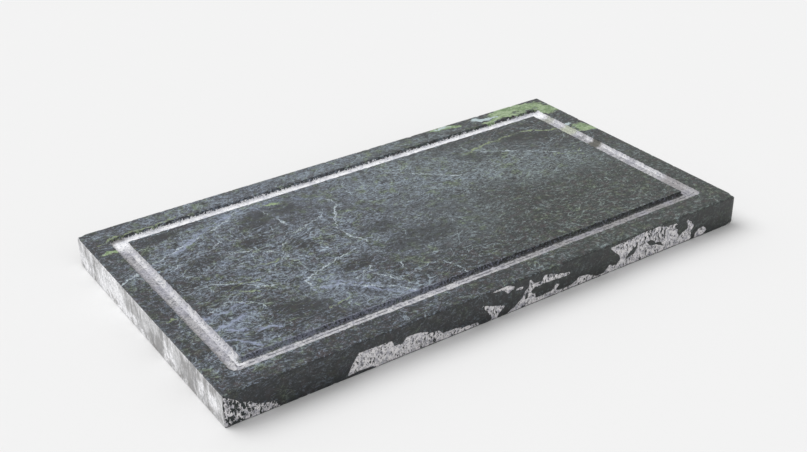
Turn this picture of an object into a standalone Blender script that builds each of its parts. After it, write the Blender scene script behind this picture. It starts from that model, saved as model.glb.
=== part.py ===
"""A rectangular stone work slab with a routed gutter around its top face.

The slab is one sawn and polished piece of dark green stone: two long edges, two short ends, a flat
underside that it rests on, and a flat working field inside a shallow closed groove.

Units are metres and +Z is up. The origin is the centre of the underside, with the slab's length
along X and its depth along Y.
"""

import math

import bmesh
import bpy
from mathutils import Matrix

# Overall size of the slab.
LENGTH = 0.550
DEPTH = 0.300
THICKNESS = 0.030

# Edges and corners. Two of the upright corners are worn round and the other two are still crisp.
WORN_CORNER_RADIUS = 0.004
CRISP_CORNER_RADIUS = 0.0012
ARRIS_WIDTH = 0.0008
CORNER_SEGMENTS = 8
ARRIS_SEGMENTS = 2

# The groove, as its router bit leaves it. The margins run from the slab's edge to the groove's
# nearer wall, at the short ends and at the long sides.
GROOVE_WIDTH = 0.014
GROOVE_DEPTH = 0.004
GROOVE_END_MARGIN = 0.021
GROOVE_SIDE_MARGIN = 0.0235
GROOVE_FLOOR_RADIUS = 0.0025
BIT_SIDES = 48
BIT_FLOOR_STEPS = 5
BIT_ABOVE_FACE = 0.004

STONE_COLOUR = (0.055, 0.068, 0.062, 1.0)
STONE_ROUGHNESS = 0.38


def clear_scene():
    for old in list(bpy.data.objects):
        bpy.data.objects.remove(old, do_unlink=True)


def new_collection(name):
    collection = bpy.data.collections.new(name)
    bpy.context.scene.collection.children.link(collection)
    return collection


def mesh_object(name, bm, collection):
    mesh = bpy.data.meshes.new(name)
    bm.to_mesh(mesh)
    bm.free()
    piece = bpy.data.objects.new(name, mesh)
    collection.objects.link(piece)
    return piece


def stone_material():
    material = bpy.data.materials.new("polished_green_stone")
    material.use_nodes = True
    shader = material.node_tree.nodes["Principled BSDF"]
    shader.inputs["Base Color"].default_value = STONE_COLOUR
    shader.inputs["Roughness"].default_value = STONE_ROUGHNESS
    shader.inputs["Metallic"].default_value = 0.0
    material.diffuse_color = STONE_COLOUR
    return material


def slab(collection):
    """The sawn block: worn and crisp upright corners first, then one small arris all round."""
    bm = bmesh.new()
    bmesh.ops.create_cube(bm, size=1.0)
    bmesh.ops.scale(bm, vec=(LENGTH, DEPTH, THICKNESS), verts=bm.verts)
    bmesh.ops.translate(bm, vec=(0.0, 0.0, THICKNESS / 2), verts=bm.verts)
    weights = bm.edges.layers.float.new("bevel_weight_edge")
    for edge in bm.edges:
        low, high = edge.verts
        if abs(low.co.z - high.co.z) < THICKNESS / 2:
            continue
        # The back left and the front right corners are the worn ones.
        worn = low.co.x * low.co.y < 0
        edge[weights] = 1.0 if worn else CRISP_CORNER_RADIUS / WORN_CORNER_RADIUS
    piece = mesh_object("stone_slab", bm, collection)

    corners = piece.modifiers.new("upright_corners", "BEVEL")
    corners.limit_method = "WEIGHT"
    corners.width = WORN_CORNER_RADIUS
    corners.segments = CORNER_SEGMENTS

    arrises = piece.modifiers.new("arrises", "BEVEL")
    arrises.limit_method = "ANGLE"
    arrises.angle_limit = math.radians(40)
    arrises.width = ARRIS_WIDTH
    arrises.segments = ARRIS_SEGMENTS
    return piece


def add_router_bit(bm, x, y):
    """One turned bull-nose bit standing at a point of the groove's path, as a closed convex solid."""
    radius = GROOVE_WIDTH / 2
    floor = THICKNESS - GROOVE_DEPTH
    flat = radius - GROOVE_FLOOR_RADIUS
    profile = [(radius, THICKNESS + BIT_ABOVE_FACE)]
    for step in range(BIT_FLOOR_STEPS + 1):
        turn = math.radians(90) * step / BIT_FLOOR_STEPS
        out = flat + GROOVE_FLOOR_RADIUS * math.cos(turn)
        up = floor + GROOVE_FLOOR_RADIUS * (1 - math.sin(turn))
        profile.append((out, up))
    for out, up in profile:
        ring = Matrix.Translation((x, y, up))
        bmesh.ops.create_circle(bm, segments=BIT_SIDES, radius=out, matrix=ring)


def groove_run(name, start, end, collection):
    """What the bit sweeps out on one straight pass: the hull of the bit at the pass's two ends."""
    bm = bmesh.new()
    add_router_bit(bm, *start)
    add_router_bit(bm, *end)
    bmesh.ops.convex_hull(bm, input=bm.verts)
    bmesh.ops.recalc_face_normals(bm, faces=bm.faces)
    cutter = mesh_object(name, bm, collection)
    cutter.hide_render = True
    cutter.display_type = "WIRE"
    return cutter


def groove_runs(collection):
    """Four passes from corner to corner, which leave round outer and square inner corners."""
    x = LENGTH / 2 - GROOVE_END_MARGIN - GROOVE_WIDTH / 2
    y = DEPTH / 2 - GROOVE_SIDE_MARGIN - GROOVE_WIDTH / 2
    groove_run("groove_front_pass", (-x, -y), (x, -y), collection)
    groove_run("groove_back_pass", (-x, y), (x, y), collection)
    groove_run("groove_left_pass", (-x, -y), (-x, y), collection)
    groove_run("groove_right_pass", (x, -y), (x, y), collection)


def main():
    clear_scene()
    parts = new_collection("grooved_stone_slab")
    cutters = new_collection("groove_cutters")
    groove_runs(cutters)

    piece = slab(parts)
    groove = piece.modifiers.new("groove", "BOOLEAN")
    groove.operation = "DIFFERENCE"
    groove.operand_type = "COLLECTION"
    groove.collection = cutters
    groove.solver = "EXACT"
    piece.data.materials.append(stone_material())


main()
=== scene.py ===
"""The finished look of a grooved green stone work slab: its stone, its floor, light and camera.

The slab is sawn from one block of dark green, white-veined stone. Its top is honed, a groove is
routed round the working field, the long edges are polished where the block was sound and left
broken and chalky where it was not, and the short ends show the saw. Units are metres.
"""

import math
from types import SimpleNamespace

import bmesh
import bpy
import numpy as np
from bpy.props import FloatProperty, FloatVectorProperty, PointerProperty
from mathutils import Matrix, Vector, noise


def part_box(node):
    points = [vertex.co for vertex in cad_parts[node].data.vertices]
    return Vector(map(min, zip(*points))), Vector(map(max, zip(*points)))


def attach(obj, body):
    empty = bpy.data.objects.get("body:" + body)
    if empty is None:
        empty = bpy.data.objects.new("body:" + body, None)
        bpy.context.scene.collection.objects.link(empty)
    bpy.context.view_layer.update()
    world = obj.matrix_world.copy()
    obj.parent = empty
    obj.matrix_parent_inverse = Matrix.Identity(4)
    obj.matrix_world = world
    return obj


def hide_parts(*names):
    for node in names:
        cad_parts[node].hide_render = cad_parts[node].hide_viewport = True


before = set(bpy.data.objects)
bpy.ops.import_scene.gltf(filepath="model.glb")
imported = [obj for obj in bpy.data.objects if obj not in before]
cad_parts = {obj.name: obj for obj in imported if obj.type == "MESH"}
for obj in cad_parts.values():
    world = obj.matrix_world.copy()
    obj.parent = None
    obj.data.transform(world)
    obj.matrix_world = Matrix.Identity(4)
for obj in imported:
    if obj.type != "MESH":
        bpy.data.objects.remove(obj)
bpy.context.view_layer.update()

bl_info = {
    "name": "Grooved Stone Slab",
    "version": (1, 0, 0),
    "blender": (4, 5, 0),
    "location": "View3D > Sidebar > Stone Slab",
    "description": "Builds a routed green stone slab with its materials, floor, light and camera",
    "category": "Object",
}

NODE = "stone_slab"
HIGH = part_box(NODE)[1]
TOP = HIGH.z
HALF = (HIGH.x, HIGH.y)
MM = 0.001

# Where the long edges were left broken, as outlines in millimetres: along the edge, and up from
# the underside. The stone is sound and polished outside them, and in the islands of FRONT_SOUND.
FRONT_BROKEN = {
    "near_corner": [(-279, -3), (-279, 30), (-272, 27), (-266, 22.5), (-259, 17.5), (-253, 15.5),
                    (-247, 10.5), (-238, 8), (-229, 6.5), (-228, -3)],
    "long_tongue": [(-165, 3.5), (-162, 9), (-158, 15), (-154.5, 20), (-140, 19.5), (-123.5, 19),
                    (-121, 13.5), (-112, 12.5), (-108, 17.5), (-97, 16.5), (-89, 14.5), (-85, 12),
                    (-77, 11), (-72, 6.8), (-59, 6.3), (-49, 4.3), (-35.5, 3.3), (-35, -3),
                    (-112, -3), (-138, 1), (-142, 3.3), (-154, 4.2)],
    "wedge": [(-31, 18), (-22, 14.5), (-7, 9.8), (-14, 4.5), (-16, -3), (-22.5, -3), (-20, 3.5),
              (-24, 10)],
    "top_flake": [(-22, 28.6), (-5, 29.2), (4, 25), (-3, 21.6), (-8, 26.6)],
    "flake_crumb": [(6, 22.4), (13, 21.8), (12, 20.6), (6, 21.3)],
    "low_sweep": [(-3, -3), (-3, 0.8), (4, 3.8), (11, 9), (14, 11.5), (15.5, 15.5), (20.5, 19),
                  (21, 25.5), (25, 20.6), (35, 19), (37, 24.6), (46, 22.6), (54, 20), (66, 17.4),
                  (65, 16), (44, 17), (26, 17.3), (21.5, 14.5), (23, 10.6), (28, 8.6), (26, 5),
                  (32, 4.4), (46, 5.4), (51, 10.8), (54, 9.4), (49, 4.8), (57, 2), (61, -3)],
    "low_mound": [(59, -3), (65, 1.6), (70, 3.6), (76, 6.6), (78, 8.6), (88, 7), (94, 4), (99, 1),
                  (101, -3)],
    "great_patch": [(104, -3), (110, 4), (114, 8.2), (118, 6), (123, 5), (128, 10.5), (126, 15),
                    (120, 20.5), (115, 25.8), (134, 26.4), (150, 28.2), (163, 29), (165, 25.6),
                    (168, 29), (178, 29), (180.5, 25.8), (189, 24.6), (197, 24.2), (199, 13.5),
                    (200.5, 9.5), (200.5, -3)],
    "fork": [(200, -3), (201, 8), (207, 12), (213, 14), (213, 19), (211, 23.6), (216.5, 20),
             (220, 14.2), (216, 10.8), (218, 4), (214, -3)],
    "base_run": [(-4, -3), (0, 3), (28, 3.4), (44, 2.4), (60, 3.2), (84, 2.4), (104, 1.8),
                 (118, 3.6), (130, 3.2), (130, -3)],
    "nub": [(222, -3), (224, 5), (228, 8.6), (234, 9), (238, 5), (235, 2.4), (228, 1)],
}
FRONT_SOUND = {
    "lens": [(16, 7.2), (15.4, 12), (18, 15.6), (19.6, 11.6), (19, 8)],
    "slit": [(132.6, 6.6), (137.6, 13.6), (149, 18.8), (144.4, 10)],
    "knot": [(159.6, 16.6), (164, 11.4), (172, 10.4), (170, 15.2), (164.6, 18.2)],
    "streak": [(169, 12.4), (175, 8.8), (182, 5.6), (179, 10.8), (174, 13)],
    "crack": [(181, 22.6), (183.4, 22), (184, 13.6), (181.6, 12.6)],
    "corner_hole": [(-269, 9.6), (-266, 10.4), (-265.4, 6), (-267.4, 4.4)],
}
BACK_BROKEN = {
    "shoulder": [(-214, 30), (-206, 20), (-190, 15), (-170, 12), (-150, 16), (-139, 23), (-131, 30)],
    "foot": [(-84, -3), (-76, 7), (-61, 12), (-44, 9), (-26, 12.5), (-9, 6), (4, 4), (16, -3)],
    "low_chip": [(62, -3), (69, 6), (82, 8), (93, 3), (97, -3)],
    "far_corner": [(196, -3), (205, 9), (219, 13), (235, 11), (247, 19), (260, 24), (279, 26),
                   (279, -3)],
}


def size_setting(name, description, default, low, high):
    """A size in metres that a user may change."""
    return FloatProperty(
        name=name, description=description, default=default, min=low, max=high, precision=5,
        unit="LENGTH")


def colour_setting(name, description, red, green, blue):
    """A colour that a user may change."""
    return FloatVectorProperty(
        name=name, description=description, default=(red, green, blue, 1.0), min=0.0, max=1.0,
        size=4, subtype="COLOR")


class SlabSizes(bpy.types.PropertyGroup):
    """Sizes of the worked edges that are finer than the plain solid."""

    arris: size_setting("Arris", "Width of the eased edge round both faces", 0.0009, 0.0003, 0.003)
    worn_corner: size_setting(
        "Worn corner", "Radius of the two upright corners that are worn round", 0.0024, 0.001, 0.02)
    crisp_corner: size_setting(
        "Crisp corner", "Radius of the two upright corners that are still crisp",
        0.0013, 0.0005, 0.02)
    floor_radius: size_setting(
        "Groove fillet", "Radius between the groove's walls and its floor", 0.0025, 0.0005, 0.004)
    rim_wander: size_setting(
        "Rim wander", "How far the groove's ragged rims stray from a true line",
        0.0006, 0.0, 0.002)
    chip: size_setting("Chips", "Depth of the largest chips along the outer arrises", 0.0007, 0.0, 0.004)
    corner_chip: size_setting(
        "Corner chip", "Depth of the chip at the ends of the two worn corners", 0.0016, 0.0, 0.004)
    broken_depth: size_setting(
        "Broken depth", "How far the broken patches lie behind the polished edge",
        0.0009, 0.0, 0.003)
    fine_step: size_setting("Fine step", "Mesh spacing across the groove", 0.00065, 0.0004, 0.003)
    long_step: size_setting(
        "Long step", "Mesh spacing along the edges and the groove", 0.0013, 0.001, 0.006)
    field_step: size_setting(
        "Field step", "Mesh spacing of the flat working field", 0.0052, 0.002, 0.02)


class StoneFinish(bpy.types.PropertyGroup):
    """Colours and polish of the stone."""

    body: colour_setting("Body", "The dark body of the stone", 0.012, 0.015, 0.018)
    body_green: colour_setting("Green body", "Where the body turns green", 0.016, 0.023, 0.016)
    haze: colour_setting("Haze", "The blue-grey bloom between the veins", 0.098, 0.118, 0.165)
    veil: colour_setting("Veil", "The thin grey veil over the middle of the slab", 0.077, 0.087, 0.107)
    green_haze: colour_setting("Green haze", "The bloom where the stone is green", 0.075, 0.100, 0.082)
    green_fibre: colour_setting("Green fibre", "The fibres where the stone is green", 0.25, 0.31, 0.21)
    vein: colour_setting("Vein", "The pale veins and fibres", 0.38, 0.46, 0.53)
    green_vein: colour_setting("Green vein", "The yellow-green veins", 0.22, 0.28, 0.13)
    green_patch: colour_setting("Green patch", "The bright green patches", 0.13, 0.21, 0.085)
    polish: FloatProperty(
        name="Polish", description="Roughness of the honed faces", subtype="FACTOR",
        default=0.34, min=0.05, max=1.0)


class StageSettings(bpy.types.PropertyGroup):
    """Floor, light and camera."""

    floor_colour: colour_setting("Floor", "Colour of the floor", 0.80, 0.80, 0.80)
    sky: FloatProperty(
        name="Soft light", description="Strength of the light from all round",
        default=0.64, min=0.0, max=5.0)
    key: FloatProperty(
        name="Key light", description="Strength of the soft light from the back left",
        default=1.82, min=0.0, max=20.0)
    lens: FloatProperty(
        name="Lens", description="Focal length in millimetres",
        default=53.92, min=10.0, max=300.0)
    camera_place: FloatVectorProperty(
        name="Camera", description="Where the camera stands", size=3, subtype="XYZ", unit="LENGTH",
        default=(-0.5603, -0.8343, 0.5748))
    camera_aim: FloatVectorProperty(
        name="Aim", description="The point that the camera looks at", size=3, subtype="XYZ",
        unit="LENGTH", default=(-0.018, -0.0115, 0.030))
    camera_roll: FloatProperty(
        name="Roll", description="How far the camera leans to its right", subtype="ANGLE",
        default=math.radians(1.27))


# ---------------------------------------------------------------- the slab's mesh

# Points nearer to the slab's edge than this belong to the edge, and not to the groove.
EDGE_BAND = 5 * MM
# The share of the arris's width that is left at the middle of its curve.
ARRIS_BEND = 0.3


def groove_walls(axis):
    """Distances from the slab's middle to the groove's inner and outer wall along one axis."""
    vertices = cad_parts[NODE].data.vertices
    rim = [
        abs(v.co[axis]) for v in vertices
        if v.co.z > TOP - 0.01 * MM and abs(v.co.x) < HALF[0] - EDGE_BAND
        and abs(v.co.y) < HALF[1] - EDGE_BAND
    ]
    return min(rim), max(rim)


def groove_floor():
    """Height of the groove's floor: the lowest point above the slab's middle."""
    return min(v.co.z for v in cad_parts[NODE].data.vertices if v.co.z > TOP / 2)


WALLS = (groove_walls(0), groove_walls(1))
GROOVE_HALF_WIDTH = (WALLS[0][1] - WALLS[0][0]) / 2
PATH = tuple((inner + outer) / 2 for inner, outer in WALLS)
GROOVE_DEPTH = TOP - groove_floor()
# Width of the finely meshed band beside the groove, and the mesh spacing of the border.
RIM_BAND = 2.2 * MM
BORDER_STEP = 2.2 * MM
# The underside closes with one face, set in from a strip of this width.
UNDERSIDE_STRIP = 4 * MM
# The attributes that the stone reads stop at these distances from the groove and the patches.
ACROSS_LIMIT = 15 * MM
BROKEN_LIMIT = 6 * MM


def spread(start, end, step):
    """Evenly spaced places from start to end, with the end left out."""
    count = max(1, round(abs(end - start) / step))
    return [start + (end - start) * i / count for i in range(count)]


def line_places(axis, sizes):
    """Where grid lines cross the slab along one axis: close together over the groove and arris."""
    inner, outer = WALLS[axis]
    half = HALF[axis]
    count = round(2 * (inner - RIM_BAND) / sizes.field_step)
    ratio = round(sizes.field_step / sizes.long_step)
    middle = 2 * (inner - RIM_BAND) / (count * ratio)
    places = spread(0.0, inner - RIM_BAND, middle)
    places += spread(inner - RIM_BAND, outer + RIM_BAND, sizes.fine_step)
    places += spread(outer + RIM_BAND, half - sizes.arris, BORDER_STEP)
    places += [half - sizes.arris, half - ARRIS_BEND * sizes.arris, half]
    return [-p for p in places[:0:-1]] + places


def near(a, b):
    return abs(a - b) < 0.001 * MM


def top_frame(bm, sizes):
    """The top face as one grid with the middle of its field left open."""
    lines = [line_places(axis, sizes) for axis in (0, 1)]
    counts = [len(places) - 1 for places in lines]
    bmesh.ops.create_grid(bm, x_segments=counts[0], y_segments=counts[1], size=0.5)
    for vert in bm.verts:
        spot = [round((vert.co[axis] + 0.5) * counts[axis]) for axis in (0, 1)]
        vert.co = (lines[0][spot[0]], lines[1][spot[1]], TOP)
    rim = [WALLS[axis][0] - RIM_BAND for axis in (0, 1)]
    field = [
        face for face in bm.faces
        if all(abs(face.calc_center_median()[axis]) < rim[axis] for axis in (0, 1))
    ]
    bmesh.ops.delete(bm, geom=field, context="FACES")
    return rim


def fill_field(bm, rim, sizes):
    """Closes the field with a coarser grid, joined to the fine frame by one band of faces."""
    outer_edges = [
        e for e in bm.edges
        if e.is_boundary and all(
            abs(v.co.x) < rim[0] + 0.01 * MM and abs(v.co.y) < rim[1] + 0.01 * MM for v in e.verts)
    ]
    band = sizes.field_step
    counts = [round(2 * rim[axis] / sizes.field_step) for axis in (0, 1)]
    made = bmesh.ops.create_grid(bm, x_segments=counts[0], y_segments=counts[1], size=0.5)
    scale = (2 * (rim[0] - band), 2 * (rim[1] - band), 1.0)
    bmesh.ops.scale(bm, vec=scale, verts=made["verts"])
    bmesh.ops.translate(bm, vec=(0.0, 0.0, TOP), verts=made["verts"])
    new = set(made["verts"])
    inner_edges = [e for e in bm.edges if e.is_boundary and e.verts[0] in new]
    bmesh.ops.bridge_loops(bm, edges=outer_edges + inner_edges)


def side_rows(bm, sizes):
    """The four edges, row by row down to the lower arris, and the underside."""
    edges = [
        e for e in bm.edges
        if e.is_boundary and all(
            near(abs(v.co.x), HALF[0]) or near(abs(v.co.y), HALF[1]) for v in e.verts)
    ]
    heights = spread(TOP - sizes.arris, sizes.arris, sizes.long_step)[1:] + [sizes.arris]
    insets = [0.0] * len(heights)
    heights += [ARRIS_BEND * sizes.arris, 0.0, 0.0]
    insets += [ARRIS_BEND * sizes.arris, sizes.arris, UNDERSIDE_STRIP]
    for height, inset in zip(heights, insets):
        made = bmesh.ops.extrude_edge_only(bm, edges=edges)["geom"]
        for vert in (g for g in made if isinstance(g, bmesh.types.BMVert)):
            for axis in (0, 1):
                reach = HALF[axis] - inset
                vert.co[axis] = max(-reach, min(reach, vert.co[axis]))
            vert.co.z = height
        edges = [g for g in made if isinstance(g, bmesh.types.BMEdge) and g.is_boundary]
    bmesh.ops.contextual_create(bm, geom=edges)


def groove_offset(x, y):
    """How far a point is from the middle of the groove: positive outside its path."""
    dx, dy = abs(x) - PATH[0], abs(y) - PATH[1]
    if dx > 0 and dy > 0:
        return math.hypot(dx, dy)
    return max(dx, dy)


def groove_depth_at(offset, radius):
    """Depth of the routed section: a short upright wall, a fillet and a flat floor."""
    inside = GROOVE_HALF_WIDTH - abs(offset)
    if inside <= 0:
        return 0.0
    if inside >= radius:
        return GROOVE_DEPTH
    return GROOVE_DEPTH - radius + math.sqrt(radius * radius - (radius - inside) ** 2)


def chatter(point, size, seed):
    """Smooth noise from -1 to 1 with features of one size."""
    return noise.noise(point / size + Vector((seed * 7.3, seed * 3.1, seed * 5.7)))


def pits(point, size, seed, floor):
    """The peaks of that noise above a floor, and 0 between them."""
    return max(0.0, chatter(point, size, seed) - floor)


def step_up(low, high, value):
    """Eases from 0 at low to 1 at high."""
    t = max(0.0, min(1.0, (value - low) / (high - low)))
    return t * t * (3 - 2 * t)


def inside_outline(points, outlines):
    """Signed distance of many points to a set of outlines: positive inside the nearest one."""
    best = np.full(len(points), -1.0)
    for outline in outlines.values():
        corners = np.array(outline, float) * MM
        ends = np.roll(corners, -1, axis=0)
        within = np.zeros(len(points), bool)
        nearest = np.full(len(points), 1.0)
        for a, b in zip(corners, ends):
            along = b - a
            share = np.clip(((points - a) @ along) / (along @ along), 0.0, 1.0)
            gap = np.linalg.norm(points - a - share[:, None] * along, axis=1)
            nearest = np.minimum(nearest, gap)
            crosses = (a[1] > points[:, 1]) != (b[1] > points[:, 1])
            rise = b[1] - a[1] if b[1] != a[1] else 1.0
            where = a[0] + (points[:, 1] - a[1]) * (b[0] - a[0]) / rise
            within ^= crosses & (points[:, 0] < where)
        best = np.maximum(best, np.where(within, nearest, -nearest))
    return best


def broken_field(places):
    """How deep each point of the surface lies inside a broken patch of the long edges, in metres."""
    flat = places[:, [0, 2]]
    # The sound islands are thin, so they are made steeper than the patches that they lie in.
    sound = -3 * inside_outline(flat, FRONT_SOUND)
    front = np.minimum(inside_outline(flat, FRONT_BROKEN), sound)
    back = inside_outline(flat, BACK_BROKEN)
    field = np.where(places[:, 1] < 0, front, back)
    return np.clip(field, -BROKEN_LIMIT, BROKEN_LIMIT)


def shape_top(point, sizes):
    """Routs the groove into a point of the top face, with its ragged rims."""
    offset = groove_offset(point.x, point.y)
    point.z -= groove_depth_at(offset, sizes.floor_radius)
    from_rim = abs(offset) - GROOVE_HALF_WIDTH
    if abs(from_rim) < 3 * MM:
        side = 1 if offset > 0 else -1
        flat = Vector((point.x, point.y, side * 10 * MM))
        wander = 0.5 * chatter(flat, 9 * MM, 1) + 0.9 * chatter(flat, 2.6 * MM, 2)
        nibble = 2.2 * pits(flat, 4.5 * MM, 3, 0.18)
        shift = sizes.rim_wander * (wander + nibble) * math.exp(-(from_rim / (1.3 * MM)) ** 2)
        dx, dy = abs(point.x) - PATH[0], abs(point.y) - PATH[1]
        if dx > 0 and dy > 0:
            away = Vector((dx, dy, 0)).normalized()
        else:
            away = Vector((1, 0, 0)) if dx > dy else Vector((0, 1, 0))
        point.x += math.copysign(away.x, point.x) * side * shift
        point.y += math.copysign(away.y, point.y) * side * shift
    chip_reach = 1.4 * MM
    if from_rim < 0:
        grind = chatter(point, 1.9 * MM, 4) + 0.6 * chatter(point, 0.9 * MM, 5)
        point.z += 0.12 * MM * grind * step_up(0, 1 * MM, -from_rim)
    elif offset > 0 and from_rim < chip_reach:
        chip = 0.9 * MM * pits(point, 3.2 * MM, 6, 0.2)
        point.z -= chip * (1 - from_rim / chip_reach)


def round_corner(point, sizes):
    """Rounds the slab's upright corners in plan: back left and front right are the worn ones."""
    radius = sizes.worn_corner if point.x * point.y < 0 else sizes.crisp_corner
    dx = abs(point.x) - (HALF[0] - radius)
    dy = abs(point.y) - (HALF[1] - radius)
    if dx > 0 and dy > 0:
        pull = max(dx, dy) / math.hypot(dx, dy)
        point.x = math.copysign(HALF[0] - radius + dx * pull, point.x)
        point.y = math.copysign(HALF[1] - radius + dy * pull, point.y)


def outward(point):
    """The way out of the slab's side at a point near its edge."""
    out = Vector((0.0, 0.0, 0.0))
    if abs(point.x) > HALF[0] - EDGE_BAND:
        out.x = math.copysign(1.0, point.x)
    if abs(point.y) > HALF[1] - EDGE_BAND:
        out.y = math.copysign(1.0, point.y)
    return out.normalized() if out.length > 0 else out


def wear_edge(point, sizes):
    """Knocks small chips out of the outer arrises and the worn upright corners."""
    edge = min(HALF[0] - abs(point.x), HALF[1] - abs(point.y))
    if edge > 3 * MM:
        return
    arris = min(max(edge, 0.0) + TOP - point.z, max(edge, 0.0) + point.z)
    closeness = 1 - step_up(0.2 * MM, 3 * MM, arris)
    if closeness <= 0:
        return
    bite = pits(point, 6 * MM, 7, 0.28) + 0.5 * pits(point, 2.4 * MM, 8, 0.2)
    worn = 0.22 + 0.25 * chatter(point, 3 * MM, 9)
    depth = sizes.chip * (2.1 * bite + 0.25 * worn) * closeness
    if point.x * point.y < 0:
        corner = max(HALF[0] - abs(point.x), HALF[1] - abs(point.y))
        beside = 1 - step_up(3 * MM, 9 * MM, corner)
        depth += sizes.corner_chip * beside * (1 - step_up(0.0, 2.4 * MM, arris))
    # A chip is cut on a slant, as much inwards as down or up.
    point -= outward(point) * depth * 0.7
    point.z += depth * (-0.7 if point.z > TOP / 2 else 0.7)


def break_side(point, field, sizes):
    """Sets a broken patch back from the polished edge and roughens it."""
    if abs(point.y) < HALF[1] - 0.5 * MM:
        return
    edge = field + 0.5 * MM * chatter(point, 2.2 * MM, 10)
    share = step_up(-0.3 * MM, 1.0 * MM, edge)
    rough = 0.45 * chatter(point, 4.5 * MM, 11) + 0.45 * chatter(point, 1.8 * MM, 12)
    ripple = 0.05 * MM * chatter(point, 14 * MM, 13)
    depth = share * sizes.broken_depth * (1 + rough) + max(0.0, ripple)
    point.y -= math.copysign(depth, point.y)


def saw_end(point):
    """Leaves the faint slanting saw strokes on the short ends."""
    if abs(point.x) < HALF[0] - 0.5 * MM:
        return
    slant = point.z + 0.9 * point.y
    stroke = noise.noise(Vector((slant / (2.6 * MM), point.y / (40 * MM), 3.0)))
    pit = pits(point, 2.4 * MM, 14, 0.3)
    point.x -= math.copysign(0.12 * MM * (stroke + 1) + 0.5 * MM * pit, point.x)


def slab_mesh(sizes):
    """The whole slab as one closed mesh.

    Its attributes tell how far each point is inside a broken patch and from the groove's middle.
    """
    bm = bmesh.new()
    rim = top_frame(bm, sizes)
    fill_field(bm, rim, sizes)
    side_rows(bm, sizes)
    bmesh.ops.remove_doubles(bm, verts=bm.verts, dist=0.001 * MM)
    bmesh.ops.recalc_face_normals(bm, faces=bm.faces)

    places = np.array([v.co for v in bm.verts])
    broken = broken_field(places)
    broken_layer = bm.verts.layers.float.new("broken")
    across_layer = bm.verts.layers.float.new("across")
    for vert, field in zip(bm.verts, broken):
        vert[broken_layer] = field
        point = vert.co.copy()
        across = groove_offset(point.x, point.y)
        vert[across_layer] = max(-ACROSS_LIMIT, min(ACROSS_LIMIT, across))
        on_side = near(abs(point.x), HALF[0]) or near(abs(point.y), HALF[1])
        edge = min(HALF[0] - abs(point.x), HALF[1] - abs(point.y))
        if near(point.z, TOP):
            if edge < sizes.arris * 0.99:
                point.z -= sizes.arris if edge < 0.01 * MM else ARRIS_BEND * sizes.arris
            shape_top(point, sizes)
        round_corner(point, sizes)
        if on_side:
            break_side(point, field, sizes)
            saw_end(point)
        wear_edge(point, sizes)
        point.z = max(point.z, 0.0)
        vert.co = point
    bm.normal_update()
    return bm


# ---------------------------------------------------------------- shader helpers


def opaque(value):
    """A colour of three numbers with its alpha added; anything else as it is."""
    if isinstance(value, tuple) and len(value) == 3:
        return (*value, 1.0)
    return value


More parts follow.
